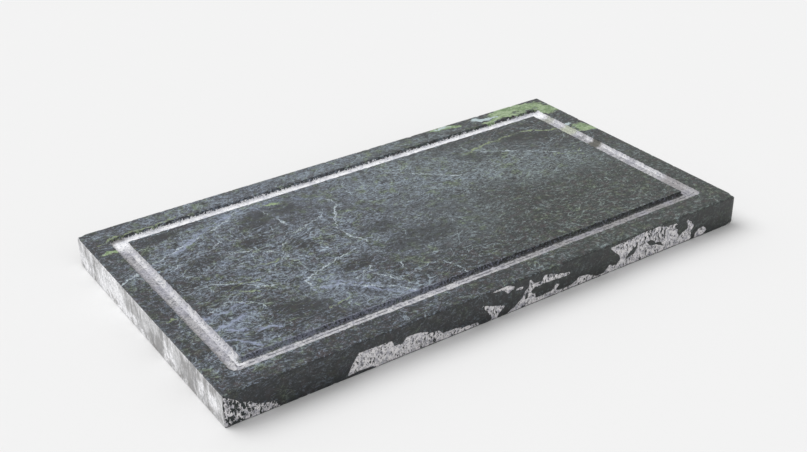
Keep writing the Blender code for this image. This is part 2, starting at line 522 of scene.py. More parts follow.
class Nodes:
    """Adds shader nodes to one tree and links them."""

    def __init__(self, tree):
        self.tree = tree

    def put(self, socket, value):
        if isinstance(value, bpy.types.NodeSocket):
            self.tree.links.new(value, socket)
        elif value is not None:
            socket.default_value = value

    def add(self, kind, settings=None, **inputs):
        node = self.tree.nodes.new(kind)
        for name, value in (settings or {}).items():
            setattr(node, name, value)
        for name, value in inputs.items():
            self.put(node.inputs[name], value)
        return node

    def math(self, operation, *values):
        node = self.add("ShaderNodeMath", {"operation": operation})
        for socket, value in zip(node.inputs, values):
            self.put(socket, value)
        return node.outputs[0]

    def plus(self, a, b):
        return self.math("ADD", a, b)

    def minus(self, a, b):
        return self.math("SUBTRACT", a, b)

    def times(self, a, b):
        return self.math("MULTIPLY", a, b)

    def larger(self, a, b):
        return self.math("MAXIMUM", a, b)

    def above(self, value, limit):
        return self.math("GREATER_THAN", value, limit)

    def below(self, value, limit):
        return self.math("LESS_THAN", value, limit)

    def size_of(self, value):
        return self.math("ABSOLUTE", value)

    def most(self, values):
        """The largest of the values, each joined as it comes to keep few of them waiting."""
        result = None
        for value in values:
            result = value if result is None else self.larger(result, value)
        return result

    def clamp(self, value):
        return self.add("ShaderNodeClamp", Value=value).outputs[0]

    def vector(self, operation, a, b=None, scale=None):
        node = self.add("ShaderNodeVectorMath", {"operation": operation})
        self.put(node.inputs[0], a)
        self.put(node.inputs[1], b)
        if scale is not None:
            self.put(node.inputs["Scale"], scale)
        return node.outputs["Value" if operation in ("DOT_PRODUCT", "LENGTH") else "Vector"]

    def ramp(self, value, low, high, to_low=0.0, to_high=1.0):
        """Value eased from to_low at low to to_high at high."""
        node = self.add("ShaderNodeMapRange", {"interpolation_type": "SMOOTHSTEP", "clamp": False})
        for socket, number in zip(node.inputs, (value, low, high, to_low, to_high)):
            self.put(socket, number)
        return node.outputs[0]

    def mix(self, factor, a, b):
        """Colour a where the factor is 0 and colour b where it is 1."""
        node = self.add("ShaderNodeMix", {"data_type": "RGBA"}, Factor=factor)
        self.put(node.inputs[6], opaque(a))
        self.put(node.inputs[7], opaque(b))
        return node.outputs[2]

    def noise(self, vector, size, detail=3.0, roughness=0.55, distortion=0.0, output="Fac"):
        """Noise whose largest features are about this size in metres."""
        node = self.add(
            "ShaderNodeTexNoise", Vector=vector, Scale=1.0 / size, Detail=detail,
            Roughness=roughness, Distortion=distortion)
        return node.outputs[output]

    def cracks(self, vector, size):
        """Distance to the nearest wall of a net of cells of about this size, as a share of it."""
        settings = {"feature": "DISTANCE_TO_EDGE"}
        node = self.add("ShaderNodeTexVoronoi", settings, Vector=vector, Scale=1.0 / size)
        return node.outputs["Distance"]

    def mapped(self, vector, scale, turn=(0.0, 0.0, 0.0), shift=(0.0, 0.0, 0.0)):
        """The vector scaled, turned by three angles in degrees and shifted."""
        angles = [math.radians(angle) for angle in turn]
        node = self.add(
            "ShaderNodeMapping", Vector=vector, Location=shift, Rotation=angles, Scale=scale)
        return node.outputs[0]

    def shifted(self, vector, field, amount):
        """The vector pushed about by a noise colour, by up to this many metres."""
        centred = self.vector("SUBTRACT", field, (0.5, 0.5, 0.5))
        return self.vector("ADD", vector, self.vector("SCALE", centred, scale=amount))

    def split(self, vector):
        return self.add("ShaderNodeSeparateXYZ", Vector=vector).outputs

    def attribute(self, name):
        return self.add("ShaderNodeAttribute", {"attribute_name": name}).outputs["Fac"]


def group_tree(name, sockets):
    """An empty node group with these (name, type, default) inputs and one float output."""
    tree = bpy.data.node_groups.new(name, "ShaderNodeTree")
    for label, kind, default in sockets:
        socket = tree.interface.new_socket(label, in_out="INPUT", socket_type=kind)
        socket.default_value = default
    tree.interface.new_socket("Amount", in_out="OUTPUT", socket_type="NodeSocketFloat")
    return tree, tree.nodes.new("NodeGroupInput"), tree.nodes.new("NodeGroupOutput")


def stroke_group():
    """A straight vein between two points: 1 on its line, fading to 0 at its width."""
    tree, given, out = group_tree("vein_stroke", [
        ("Place", "NodeSocketVector", (0, 0, 0)),
        ("From", "NodeSocketVector", (0, 0, 0)),
        ("To", "NodeSocketVector", (1, 0, 0)),
        ("Width", "NodeSocketFloat", 0.001),
    ])
    n = Nodes(tree)
    run = n.vector("SUBTRACT", given.outputs["To"], given.outputs["From"])
    reach = n.vector("SUBTRACT", given.outputs["Place"], given.outputs["From"])
    done = n.vector("DOT_PRODUCT", reach, run)
    along = n.clamp(n.math("DIVIDE", done, n.vector("DOT_PRODUCT", run, run)))
    gap = n.vector("LENGTH", n.vector("SUBTRACT", reach, n.vector("SCALE", run, scale=along)))
    n.put(out.inputs[0], n.ramp(gap, given.outputs["Width"], 0.0))
    return tree


def patch_group():
    """A soft oval patch: 1 in its middle, 0 outside its radii."""
    tree, given, out = group_tree("soft_patch", [
        ("Place", "NodeSocketVector", (0, 0, 0)),
        ("Centre", "NodeSocketVector", (0, 0, 0)),
        ("Radii", "NodeSocketVector", (1, 1, 1)),
        ("Turn", "NodeSocketFloat", 0.0),
    ])
    n = Nodes(tree)
    reach = n.vector("SUBTRACT", given.outputs["Place"], given.outputs["Centre"])
    turn = n.add(
        "ShaderNodeVectorRotate", {"rotation_type": "Z_AXIS"}, Vector=reach,
        Angle=given.outputs["Turn"])
    share = n.vector("DIVIDE", turn.outputs[0], given.outputs["Radii"])
    n.put(out.inputs[0], n.ramp(n.vector("LENGTH", share), 1.25, 0.55))
    return tree


def vein_runs(n, group, place, veins):
    """The strength of each stretch of the veins: a width and its points, in millimetres."""
    for width, points in veins:
        for start, end in zip(points, points[1:]):
            node = n.add("ShaderNodeGroup", {"node_tree": group}, Place=place)
            node.inputs["From"].default_value = (start[0] * MM, start[1] * MM, 0.0)
            node.inputs["To"].default_value = (end[0] * MM, end[1] * MM, 0.0)
            node.inputs["Width"].default_value = width * MM
            yield node.outputs[0]


def patch_ovals(n, group, place, ovals):
    """The strength of each patch: a centre and two radii, in millimetres, and a turn."""
    for x, y, length, breadth, turn in ovals:
        node = n.add("ShaderNodeGroup", {"node_tree": group}, Place=place)
        node.inputs["Centre"].default_value = (x * MM, y * MM, 0.0)
        node.inputs["Radii"].default_value = (length * MM, breadth * MM, 1.0)
        node.inputs["Turn"].default_value = -math.radians(turn)
        yield node.outputs[0]


def strokes(n, group, place, veins):
    return n.most(vein_runs(n, group, place, veins))


def patches(n, group, place, ovals):
    return n.most(patch_ovals(n, group, place, ovals))


# ---------------------------------------------------------------- the stone's pattern

# Veins on the top face: width, then the points that each runs through, in millimetres.
PALE_VEINS = [
    (1.2, [(-273, 45), (-240, 59), (-200, 75), (-165, 87), (-130, 106), (-117, 111)]),
    (1.1, [(-47, 76), (-45, 62), (-57, 47), (-69, 25), (-68, 4), (-60, -15)]),
    (1.0, [(30, 90), (60, 66), (82, 47), (92, 41)]),
    (0.8, [(136, 75), (152, 66), (170, 53), (185, 40), (208, 22), (226, 14)]),
    (1.1, [(-140, -51), (-140, -41), (-125, -35), (-96, -26), (-64, -16)]),
    (1.1, [(-82, -54), (-86, -67), (-77, -80), (-73, -88)]),
    (1.0, [(-56, -65), (-61, -81)]),
    (0.8, [(-112, 96), (-107, 72), (-104, 55)]),
    (0.7, [(-25, -82), (-20, -98), (-17, -112)]),
    (0.8, [(-128, 22), (-98, 40), (-70, 52)]),
    (0.8, [(-128, -60), (-112, -70), (-98, -84), (-82, -96), (-72, -110)]),
    (0.7, [(-142, -56), (-122, -64), (-104, -66), (-90, -58)]),
    (0.7, [(-236, 4), (-214, 0), (-196, -8), (-172, -30), (-150, -40)]),
    (0.7, [(-176, 40), (-150, 30), (-134, 12), (-130, -8)]),
    (0.7, [(-232, -40), (-212, -36), (-196, -44), (-188, -58)]),
    (0.7, [(-226, 40), (-206, 52), (-182, 56), (-160, 66)]),
]
GLOWS = [
    (9.0, [(-240, 62), (-200, 76), (-160, 92), (-126, 108)]),
    (12.0, [(-176, 96), (-150, 102), (-118, 104), (-96, 100)]),
    (11.0, [(-236, -82), (-218, -92), (-204, -106)]),
    (7.0, [(-92, 104), (-70, 96), (-50, 82)]),
    (6.0, [(-200, 30), (-168, 22), (-140, 6)]),
    (10.0, [(-150, -52), (-122, -68), (-98, -88), (-72, -112)]),
    (9.0, [(-244, -52), (-222, -44), (-198, -50)]),
    (8.0, [(-240, -72), (-216, -68), (-198, -62)]),
    (8.0, [(-140, -42), (-110, -50), (-84, -68)]),
    (9.0, [(-10, 82), (40, 62), (96, 34), (150, 18)]),
]
LILAC_VEINS = [
    (3.4, [(-240, -44), (-224, -46), (-208, -46), (-197, -42)]),
    (3.4, [(-238, -64), (-222, -66), (-206, -60)]),
    (3.0, [(-238, -84), (-226, -92), (-216, -104)]),
    (2.6, [(-226, -74), (-208, -82), (-192, -92)]),
    (2.4, [(-214, 68), (-192, 76), (-176, 84)]),
    (2.0, [(-146, -60), (-120, -70), (-97, -90), (-84, -101), (-69, -112)]),
    (1.6, [(-128, -58), (-108, -74), (-92, -86)]),
    (1.8, [(-168, 88), (-150, 98), (-132, 106)]),
]
GREEN_VEINS = [
    (1.7, [(118, 78), (145, 85), (170, 87), (202, 90), (215, 85), (227, 75), (240, 72), (256, 65)]),
    (1.3, [(-273, 103), (-262, 104), (-252, 100), (-240, 96)]),
    (1.6, [(-264, 120), (-250, 126), (-232, 128), (-206, 127), (-184, 131)]),
    (1.1, [(-147, -92), (-134, -90), (-122, -87)]),
    (1.0, [(-206, -18), (-194, -26), (-180, -36)]),
    (1.1, [(-268, -33), (-260, -32), (-252, -34)]),
    (1.2, [(-160, 6), (-150, 1), (-140, 4)]),
    (1.0, [(-206, -20), (-188, -14), (-172, -18)]),
    (1.1, [(-108, 102), (-98, 99), (-88, 94)]),
    (1.0, [(196, 24), (214, 14), (228, 20)]),
]
# Patches: centre, half length and half breadth in millimetres, and turn in degrees.
GREEN_PATCHES = [
    (232, 138, 40, 10, -8), (263, 119, 15, 12, -20), (206, 129, 26, 4, -6), (142, 145, 18, 5, -4),
    (264, 57, 12, 9, -10), (-262, 104, 12, 3, 0),
    (-98, 99, 9, 2, 10),
]
PALE_PATCHES = [
    (188, 142, 15, 5, -28), (200, 136, 9, 3, -25), (248, 70, 9, 4, -10), (138, 146, 10, 3, 0),
]
HAZE_PATCHES = [
    (-205, 60, 84, 40, 15), (-130, 104, 60, 16, 20), (45, 50, 84, 36, -14), (-220, -60, 42, 26, 0),
    (-105, -85, 70, 30, -35), (-120, 0, 130, 60, 0), (60, 66, 130, 46, -20), (140, 30, 90, 34, -20),
    (-225, -115, 60, 20, 0), (-60, 138, 220, 12, 0),
]
VEIL_PATCHES = [
    (20, 70, 210, 62, -12), (150, 20, 120, 44, -18), (-60, 138, 240, 12, 0), (10, -20, 90, 60, 0),
    (40, 60, 110, 46, -12), (-110, -90, 60, 30, -30),
]
DARK_PATCHES = [
    (-166, -74, 25, 9, -20), (-223, -54, 7, 5, -15), (-126, 80, 20, 13, 20), (-90, 83, 15, 11, -10),
    (-88, -44, 20, 9, 10), (-100, -91, 10, 6, -40), (-38, 0, 20, 14, 0), (200, 74, 34, 9, -20),
    (130, 66, 30, 8, -25), (-200, 38, 20, 10, 20), (-146, 44, 16, 9, 20), (-20, -36, 40, 18, 0),
    (-212, 101, 20, 7, 10), (-230, 8, 16, 9, 10), (-112, 14, 12, 8, -20), (-196, -16, 14, 6, -20),
]

# The colours of the finer layers. Where there are two, the second is for the green stone.
BROWN_STAIN = (0.038, 0.025, 0.027)
GLOW_TINTS = ((0.15, 0.18, 0.25), (0.13, 0.165, 0.15))
GRAIN_TINTS = ((0.34, 0.40, 0.48), (0.28, 0.36, 0.22))
DARK_GRAIN = (0.008, 0.010, 0.011)
STREAK_TINTS = ((0.21, 0.255, 0.32), (0.185, 0.230, 0.170))
DARK_STREAK = (0.009, 0.011, 0.013)
LILAC = (0.27, 0.31, 0.43)
WHITE_VEIN = (0.50, 0.58, 0.62)
PATCH_STREAK = (0.30, 0.40, 0.22)
PATCH_GRAIN = (0.46, 0.53, 0.42)
GREEN_VEIN_GRAIN = (0.30, 0.36, 0.24)
PALE_PATCH = (0.44, 0.53, 0.55)

# Fibres: turn, length and breadth of the curls, width of the line, detail, clumping, strength.
FIBRES = [
    (24, 0.040, 0.0120, 0.011, 3.0, 0.045, 0.70),
    (-27, 0.034, 0.0110, 0.011, 3.0, 0.038, 0.60),
    (11, 0.016, 0.0050, 0.020, 2.0, 0.024, 0.55),
    (-42, 0.013, 0.0046, 0.020, 2.0, 0.020, 0.45),
]
# Cracks: cell size, width of the line as a share of a cell, clumping, strength.
CRACKS = [
    (0.022, 0.019, 0.050, 0.80),
    (0.0105, 0.026, 0.030, 0.75),
]


def ridge(n, place, turn, size, breadth, width, detail, seed):
    """Thin curling lines that run one way: where long drawn-out noise crosses its middle."""
    shift = (seed, 0.37 * seed, 0.61 * seed)
    drawn = n.mapped(place, (breadth / size, 1.0, 1.0), turn=(0, 0, turn), shift=shift)
    wave = n.noise(drawn, breadth, detail=detail, roughness=0.6)
    return n.ramp(n.size_of(n.minus(wave, 0.5)), width, 0.0)


def in_clumps(n, f, line, shift, clump, low, lift, fade, strength):
    """The lines kept in clumps only, which are more and larger where the stone is hazy."""
    gate = n.noise(n.vector("ADD", f.flow, shift), clump)
    low = n.minus(low, n.times(f.level, lift))
    return n.times(line, n.ramp(n.minus(gate, low), 0.0, fade, 0.0, strength))


def fibre_lines(n, f):
    """The strength of each set of fine pale fibres: curling lines, each set in one direction."""
    for row, (turn, size, breadth, width, detail, clump, strength) in enumerate(FIBRES, 1):
        seed = 0.31 * row
        line = ridge(n, f.ragged, turn, size, breadth, width, detail, seed)
        yield in_clumps(n, f, line, (seed, 0.0, 0.0), clump, 0.555, 0.085, 0.12, strength)


def crack_lines(n, f):
    """The strength of each net of fine healed cracks, drawn out along the slab."""
    drawn = n.mapped(f.ragged, (0.78, 1.0, 1.0), turn=(0, 0, 20))
    for size, width, clump, strength in CRACKS:
        line = n.ramp(n.cracks(drawn, size), width, 0.3 * width)
        yield in_clumps(n, f, line, (0.0, size * 90, 0.0), clump, 0.55, 0.100, 0.10, strength)


def stone_fields(n, place):
    """The places and measures that the layers of the stone share."""
    f = SimpleNamespace(place=place, stroke=stroke_group(), oval=patch_group())
    sway = n.noise(place, 0.050, output="Color")
    f.flow = n.shifted(place, sway, 0.030)
    fray = n.noise(place, 0.0070, detail=5.0, roughness=0.68, output="Color")
    f.ragged = n.shifted(f.flow, fray, 0.0060)
    # Veins and patches go straight down through the slab, so they read only the plan.
    flat = (1.0, 1.0, 0.0)
    f.plan = n.vector("MULTIPLY", n.shifted(f.ragged, fray, 0.010), flat)
    f.line_plan = n.vector("MULTIPLY", n.shifted(place, fray, 0.0150), flat)

    spot = n.split(place)
    right = n.ramp(spot["X"], -0.10, 0.14)
    front = n.ramp(spot["Y"], 0.04, -0.06)
    f.green_side = n.times(right, n.plus(0.55, n.times(front, 0.45)))
    haze = patches(n, f.oval, f.plan, HAZE_PATCHES)
    f.dark = patches(n, f.oval, f.line_plan, DARK_PATCHES)
    f.level = n.minus(n.plus(0.22, n.times(haze, 0.75)), n.times(f.dark, 0.85))
    return f


def dark_body(n, finish, f):
    """The dark body of the stone, with its stains, its thin veil and its haze."""
    # Dark lenses, each in a paler skin.
    stretched = n.mapped(f.ragged, (0.55, 1.0, 1.0), turn=(0, 0, 18))
    skin = n.ramp(n.cracks(stretched, 0.017), 0.34, 0.0)
    f.grain = n.noise(f.ragged, 0.011, detail=8.0, roughness=0.80)
    f.glow = strokes(n, f.stroke, f.plan, GLOWS)
    lift = n.plus(n.times(f.level, 0.050), n.times(skin, 0.035))
    lift = n.plus(lift, n.times(f.glow, 0.070))
    f.bloom = n.ramp(n.plus(f.grain, lift), 0.560, 0.700)

    f.hue = n.noise(f.place, 0.013, detail=4.0, roughness=0.7)
    f.greenish = n.clamp(n.plus(n.times(f.green_side, 0.55), n.ramp(f.hue, 0.54, 0.66)))
    shade = n.mix(f.greenish, finish.body, finish.body_green)
    brown = n.noise(f.place, 0.0075, detail=4.0, roughness=0.7)
    shade = n.mix(n.ramp(brown, 0.48, 0.58, 0.0, 0.85), shade, BROWN_STAIN)
    # A thin even veil lies over the middle and back of the slab.
    veil = patches(n, f.oval, f.plan, VEIL_PATCHES)
    veil = n.times(veil, n.ramp(f.grain, 0.34, 0.60, 0.20, 0.85))
    shade = n.mix(n.plus(0.10, veil), shade, n.mix(f.greenish, finish.veil, finish.green_haze))
    haze = n.mix(f.greenish, finish.haze, finish.green_haze)
    return n.mix(n.times(f.bloom, 0.62), shade, haze)


def add_glow(n, finish, f, shade):
    """Lit streaks round the main veins, and the dark patches laid back over them."""
    lay = n.mapped(f.ragged, (0.52, 1.0, 1.0), turn=(0, 0, 16))
    f.streaks = n.noise(lay, 0.0025, detail=4.0, roughness=0.75)
    lit = n.times(f.glow, n.ramp(f.grain, 0.42, 0.60, 0.08, 0.78))
    lit = n.times(lit, n.ramp(f.streaks, 0.42, 0.58, 0.25, 1.0))
    shade = n.mix(lit, shade, n.mix(f.greenish, *GLOW_TINTS))
    return n.mix(n.times(f.dark, 0.50), shade, n.mix(f.greenish, finish.body, finish.body_green))


def add_grains(n, f, shade):
    """Pale and dark grains, about a millimetre across."""
    f.speck = n.noise(f.place, 0.0020, roughness=0.7)
    pale = n.ramp(n.plus(f.speck, n.times(f.level, 0.07)), 0.58, 0.68, 0.0, 0.85)
    pale = n.times(pale, n.plus(0.40, n.times(f.bloom, 0.60)))
    shade = n.mix(pale, shade, n.mix(f.greenish, *GRAIN_TINTS))
    return n.mix(n.ramp(f.speck, 0.42, 0.34, 0.0, 0.7), shade, DARK_GRAIN)


def add_threads(n, finish, f, shade):
    """Short streaks that run along the slab, then curling fibres and healed cracks."""
    pale = n.ramp(n.plus(f.streaks, n.times(f.level, 0.05)), 0.555, 0.645, 0.0, 0.66)
    shade = n.mix(pale, shade, n.mix(f.greenish, *STREAK_TINTS))
    shade = n.mix(n.ramp(f.streaks, 0.47, 0.39, 0.0, 0.90), shade, DARK_STREAK)
    fibres = n.larger(n.most(fibre_lines(n, f)), n.most(crack_lines(n, f)))
    fibres = n.times(fibres, n.minus(1.0, n.times(f.green_side, 0.22)))
    fibres = n.times(fibres, n.ramp(f.streaks, 0.42, 0.56, 0.30, 1.0))
    tinted = n.larger(f.greenish, n.ramp(f.hue, 0.48, 0.56, 0.0, 0.85))
    return n.mix(fibres, shade, n.mix(tinted, finish.vein, finish.green_fibre))


def add_pale_veins(n, f, shade):
    """Broad lilac veins and thin white ones, both broken in places."""
    lilac = strokes(n, f.stroke, f.plan, LILAC_VEINS)
    lilac = n.times(lilac, n.ramp(f.grain, 0.40, 0.56, 0.12, 0.95))
    shade = n.mix(lilac, shade, LILAC)
    f.breaks = n.noise(f.place, 0.014, detail=4.0, roughness=0.65)
    white = strokes(n, f.stroke, f.line_plan, PALE_VEINS)
    white = n.times(white, n.ramp(f.breaks, 0.42, 0.54, 0.15, 1.0))
    return n.mix(white, shade, WHITE_VEIN)


def add_green(n, finish, f, shade):
    """Green patches, green veins, and the pale blue-green patches beside them."""
    patch = patches(n, f.oval, f.plan, GREEN_PATCHES)
    # The patches are streaked along the slab, with dark and white fibres left in them.
    drawn = n.mapped(f.ragged, (0.30, 1.0, 1.0))
    streak = n.noise(drawn, 0.0050, detail=5.0, roughness=0.75)
    share = n.ramp(patch, 0.0, 0.25, 0.30, 0.98)
    patch = n.plus(patch, n.times(n.minus(streak, 0.5), 2.9))
    patch = n.times(n.ramp(patch, 0.12, 0.80), share)
    tint = n.mix(n.ramp(streak, 0.42, 0.60), finish.green_patch, PATCH_STREAK)
    tint = n.mix(n.ramp(f.speck, 0.52, 0.64, 0.0, 0.7), tint, PATCH_GRAIN)
    shade = n.mix(patch, shade, tint)

    vein = strokes(n, f.stroke, f.line_plan, GREEN_VEINS)
    vein = n.times(vein, n.ramp(f.breaks, 0.40, 0.54, 0.25, 0.95))
    tint = n.mix(n.ramp(f.speck, 0.44, 0.60), finish.green_vein, GREEN_VEIN_GRAIN)
    shade = n.mix(vein, shade, tint)
    pale = patches(n, f.oval, f.plan, PALE_PATCHES)
    pale = n.ramp(n.plus(pale, n.times(n.minus(f.grain, 0.5), 4.0)), 0.40, 0.95)
    return n.mix(pale, shade, PALE_PATCH)


def honed_stone(n, finish, f):
    """The colour of the honed faces, built up from the dark body to the green patches."""
    shade = dark_body(n, finish, f)
    shade = add_glow(n, finish, f, shade)
    shade = add_grains(n, f, shade)
    shade = add_threads(n, finish, f, shade)
    shade = add_pale_veins(n, f, shade)
    return add_green(n, finish, f, shade)


# ---------------------------------------------------------------- ground, broken and sawn stone

# Where each run of the groove starts to look like itself, as the two ends of a soft step.
BACK_RUN = (0.095, 0.116)
RIGHT_RUN = (0.234, 0.240)
LEFT_RUN = (-0.234, -0.240)
FRONT_RUN = (-0.105, -0.111)
FRONT_SIDE = (-0.100, -0.112)

# Two tones each, for the troughs and the peaks of the grain.
DULL_GROUND = ((0.19, 0.19, 0.21), (0.475, 0.47, 0.485))
WHITE_GROUND = ((0.56, 0.58, 0.64), (0.92, 0.92, 0.94))
WARM_GROUND = (0.22, 0.21, 0.20)
LILAC_GROUND = (0.40, 0.40, 0.48)
SHADED_SHOULDER = (0.15, 0.14, 0.13)
GROUND_GRIT = (0.09, 0.09, 0.10)
BROKEN_TONES = ((0.40, 0.40, 0.45), (0.82, 0.80, 0.81))
BROKEN_SPECK = (0.12, 0.12, 0.13)
BROKEN_PIT = (0.028, 0.034, 0.034)
SAWN_TONES = ((0.36, 0.355, 0.355), (0.66, 0.66, 0.67))
SAWN_WHITE = (0.95, 0.95, 0.97)
SAWN_VEIN = (0.20, 0.21, 0.24)
SAWN_SPECK = (0.25, 0.26, 0.26)
SAWN_STAIN = (0.20, 0.19, 0.18)
# Dark sound stone, also used as painted shade on the groove's upper walls.
SOUND_WALL_AND_SHADE = (0.012, 0.013, 0.014)
RIM_PEPPER = (0.20, 0.21, 0.28)
# Painted shade for the long edges.
EDGE_SHADE = (0.015, 0.0175, 0.018)
UNDERSIDE_FILM = (0.16, 0.17, 0.165)

# Stains along the right run of the groove: middle and half length along it, colour, strength.
CROSSINGS = [
    (24, 9.0, (0.085, 0.082, 0.062), 0.88),
    (66, 13.0, (0.46, 0.50, 0.36), 0.70),
    (100, 8.0, (0.30, 0.32, 0.24), 0.50),
    (44, 5.0, (0.24, 0.24, 0.25), 0.55),
    (-92, 22.0, (0.27, 0.25, 0.24), 0.60),
    (-30, 7.0, (0.26, 0.26, 0.29), 0.40),
]
# White and grey patches of the sawn ends: place along the end, height, half sizes, turn.
END_WHITES = [
    (52, 13, 9, 10, 0), (28, 6, 15, 5, -8), (-44, 12, 4.5, 12, 0), (-62, 7, 5, 9, -30),
    (-112, 14, 6, 8, 30), (-133, 12, 9, 8, -20), (134, 9, 11, 8, 20), (86, 6, 12, 4, 0),
]
END_GREYS = [
    (-10, 12, 18, 12, 0), (-30, 3, 12, 3, 0), (106, 17, 10, 7, 0), (-86, 15, 14, 14, 0),
    (80, 1, 5, 2, 0), (-122, 24, 16, 5, 0),
]


def ground_brightness(n, spot, side, across, left_run):
    """How white the groove's ground stone is made, from 0 to 1: most along the back run, and with
    painted light on the walls that face the left.
    """
    back_run = n.ramp(spot["Y"], *BACK_RUN)
    right_run = n.ramp(spot["X"], *RIGHT_RUN)
    # Painted light: the field side of the left run, whose wall faces the left, is whitened too.
    sloped = n.times(n.ramp(across, -2.1 * MM, -2.8 * MM), left_run)
    bright = n.times(n.larger(side, sloped), 0.52)
    bright = n.plus(bright, n.times(right_run, 0.12))
    front_left = n.times(n.ramp(spot["Y"], *FRONT_SIDE), n.ramp(spot["X"], 0.08, -0.06))
    bright = n.plus(bright, n.times(front_left, 0.30))
    return n.clamp(n.larger(bright, back_run))


def stained(n, place, spot, shade):
    """Places where the right run of the groove crosses sound, stained or green stone."""
    fray = n.noise(place, 0.009, detail=4.0, roughness=0.7, output="Color")
    frayed = n.split(n.shifted(place, fray, 0.010))
    far_right = n.above(spot["X"], 0.235)
    for middle, reach, tint, strength in CROSSINGS:
        gap = n.size_of(n.minus(frayed["Y"], middle * MM))
        band = n.times(n.ramp(gap, reach * MM, 0.4 * reach * MM), far_right)
        shade = n.mix(n.times(band, strength), shade, tint)
    return shade


def ground_chalk(n, f, spot, side, across):
    """Pale ground stone of the groove: grained across the run, with darker grits."""
    grain = n.noise(f.place, 0.0034, detail=5.0, roughness=0.80)
    broad = n.noise(f.place, 0.024)
    dull = n.mix(n.ramp(grain, 0.38, 0.58), *DULL_GROUND)
    white = n.mix(n.ramp(grain, 0.36, 0.54), *WHITE_GROUND)
    left_run = n.ramp(spot["X"], *LEFT_RUN)
    bright = ground_brightness(n, spot, side, across, left_run)
    shade = n.mix(bright, dull, white)
    front_right = n.ramp(spot["X"], -0.05, 0.16, 0.0, 0.5)
    front_right = n.times(n.ramp(spot["Y"], *FRONT_SIDE), front_right)
    shade = n.mix(front_right, shade, WARM_GROUND)
    shade = n.mix(n.ramp(broad, 0.44, 0.62, 0.0, 0.40), shade, LILAC_GROUND)
    # Painted shade: on the left run the floor darkens towards the outer wall, which faces away from the
    # light.
    shoulder = n.times(n.ramp(across, 1.5 * MM, 6.0 * MM), n.times(left_run, 0.60))
    shade = n.mix(shoulder, shade, SHADED_SHOULDER)
    shade = stained(n, f.place, spot, shade)
    # The cutter's chatter leaves a broken row of dark marks along the floor of the front run.
    row = n.ramp(n.size_of(n.plus(across, 1.4 * MM)), 1.1 * MM, 0.3 * MM)
    gaps = n.noise(f.place, 0.0060, detail=4.0)
    row = n.times(n.times(row, n.ramp(gaps, 0.46, 0.54, 0.0, 0.8)), n.ramp(spot["Y"], *FRONT_RUN))
    grit = n.ramp(n.plus(f.speck, n.times(bright, 0.045)), 0.445, 0.385, 0.0, 0.75)
    return n.mix(n.larger(grit, row), shade, GROUND_GRIT)


def broken_chalk(n, f, spot):
    """Broken stone of the long edges: chalky, pitted with dark specks and short dark strokes."""
    tall = n.mapped(f.place, (1.0, 1.0, 0.50))
    holes = n.noise(tall, 0.0024, detail=4.0, roughness=0.66)
    dense = n.noise(f.place, 0.026, detail=2.0)
    corner = n.ramp(spot["X"], -0.205, -0.240)
    upper = n.times(n.ramp(spot["Z"], 0.012, 0.026), n.ramp(spot["X"], 0.09, 0.11))
    level = n.plus(n.ramp(dense, 0.42, 0.62, 0.0, 0.05), n.times(corner, 0.070))
    level = n.plus(level, n.times(upper, 0.045))
    dark = n.ramp(n.minus(n.plus(0.400, level), holes), -0.015, 0.02)
    tint = n.noise(f.place, 0.005, detail=6.0, roughness=0.80)
    shade = n.mix(n.ramp(tint, 0.38, 0.56), *BROKEN_TONES)
    shade = n.mix(n.ramp(f.speck, 0.455, 0.395, 0.0, 0.75), shade, BROKEN_SPECK)
    return n.mix(dark, shade, BROKEN_PIT)


def sawn_tone(n, f, slant, spot):
    """How light the sawn end is: saw strokes and blotches on a slant, white and grey patches."""
    saw = n.noise(slant, 0.0075, detail=6.0, roughness=0.70)
    blotch = n.noise(slant, 0.021, distortion=0.6)
    # The end is made a little lighter towards the back.
    back = n.ramp(spot["Y"], -0.13, 0.12, -0.044, 0.016)
    tone = n.plus(n.plus(n.times(saw, 0.40), n.times(blotch, 0.60)), back)
    fray = n.noise(f.place, 0.0060, detail=4.0, roughness=0.7, output="Color")
    frayed = n.split(n.shifted(f.place, fray, 0.010))
    flat = n.add("ShaderNodeCombineXYZ", X=frayed["Y"], Y=frayed["Z"]).outputs[0]
    white = patches(n, f.oval, flat, END_WHITES)
    grey = patches(n, f.oval, flat, END_GREYS)
    tone = n.minus(n.plus(tone, n.times(white, 0.10)), n.times(grey, 0.045))
    flecks = n.noise(slant, 0.0026, detail=4.0, roughness=0.7)
    return n.plus(tone, n.times(n.minus(flecks, 0.5), 0.28))


def sawn_chalk(n, f, spot):
    """Sawn stone of the short ends: white blotches and grey strokes on a slant, brown-grey low."""
    slant = n.mapped(f.place, (1.0, 1.0, 0.36), turn=(24, 0, 0))
    tone = sawn_tone(n, f, slant, spot)
    shade = n.mix(n.ramp(tone, 0.40, 0.50), *SAWN_TONES)
    shade = n.mix(n.ramp(tone, 0.515, 0.570), shade, SAWN_WHITE)
    vein = ridge(n, f.place, 0, 0.020, 0.012, 0.018, 3.0, 1.7)
    shade = n.mix(n.times(vein, 0.45), shade, SAWN_VEIN)
    shade = n.mix(n.ramp(f.speck, 0.46, 0.36, 0.0, 0.55), shade, SAWN_SPECK)
    low = n.ramp(spot["Z"], 0.014, 0.002)
    spots = n.noise(f.place, 0.012, detail=5.0, roughness=0.7)
    return n.mix(n.times(low, n.ramp(spots, 0.50, 0.60, 0.0, 0.6)), shade, SAWN_STAIN)


